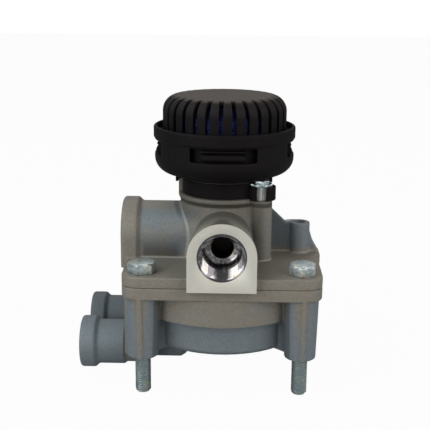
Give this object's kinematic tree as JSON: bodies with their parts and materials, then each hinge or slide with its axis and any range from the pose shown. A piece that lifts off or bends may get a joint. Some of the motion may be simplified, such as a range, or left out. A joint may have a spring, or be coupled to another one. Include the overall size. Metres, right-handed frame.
{
  "type": "air brake relay valve",
  "caption": "Relay valve for air brakes with two control ports, one supply port, two delivery ports and a slotted exhaust silencer, on four bolts.",
  "frame": {"origin": "centre of the four bolts, on the plane where the bolt bosses seat on the bracket", "axes": "+Z along the valve axis towards the silencer, -X towards the supply and control ports, -Y towards the front delivery port"},
  "size_m": [0.1261, 0.11, 0.148],
  "materials": {
    "cast_aluminium": "die cast, fine grain",
    "turned_aluminium": "turned",
    "zinc_steel": "zinc plated",
    "spring_steel": "oiled",
    "black_plastic": "moulded",
    "guide_plastic": "moulded",
    "seal_rubber": "moulded",
    "blue_knit": "knitted"
  },
  "bodies": {
    "valve_body": {"valve_housing": "cast_aluminium", "control_housing": "cast_aluminium", "housing_seal": "seal_rubber", "hex_bolts": "zinc_steel", "valve_guide": "guide_plastic", "guide_outer_seal": "seal_rubber", "guide_inner_seal": "seal_rubber", "retaining_ring": "spring_steel", "silencer_base": "black_plastic", "silencer_seal": "seal_rubber", "silencer_collar": "black_plastic", "silencer_cap": "black_plastic", "silencer_filter": "blue_knit", "locking_band": "black_plastic", "clamp_sleeve": "zinc_steel", "clamp_screw": "zinc_steel"},
    "relay_piston": {"relay_piston": "turned_aluminium", "relay_piston_ring": "seal_rubber"},
    "control_piston": {"control_piston": "turned_aluminium", "control_piston_ring": "seal_rubber"},
    "valve_element": {"valve_stem": "turned_aluminium", "valve_disc": "seal_rubber", "valve_spring": "spring_steel"}
  },
  "joints": [
    {"name": "relay_piston_slide", "type": "slide", "parent": "valve_body", "child": "relay_piston", "axis": [0, 0, 1], "range_m": [0, 0.0035]},
    {"name": "control_piston_slide", "type": "slide", "parent": "valve_body", "child": "control_piston", "axis": [0, 0, 1], "range_m": [0, 0.0035]},
    {"name": "valve_slide", "type": "slide", "parent": "valve_body", "child": "valve_element", "axis": [0, 0, 1], "range_m": [0, 0.002], "stiffness_N_per_m": 2000, "springref_m": -0.004, "deforming": ["valve_spring"]}
  ],
  "couplings": [
    {"joint": "control_piston_slide", "follows": "relay_piston_slide", "ratio": 1},
    {"joint": "valve_slide", "follows": "relay_piston_slide", "ratio": 0.57143}
  ]
}
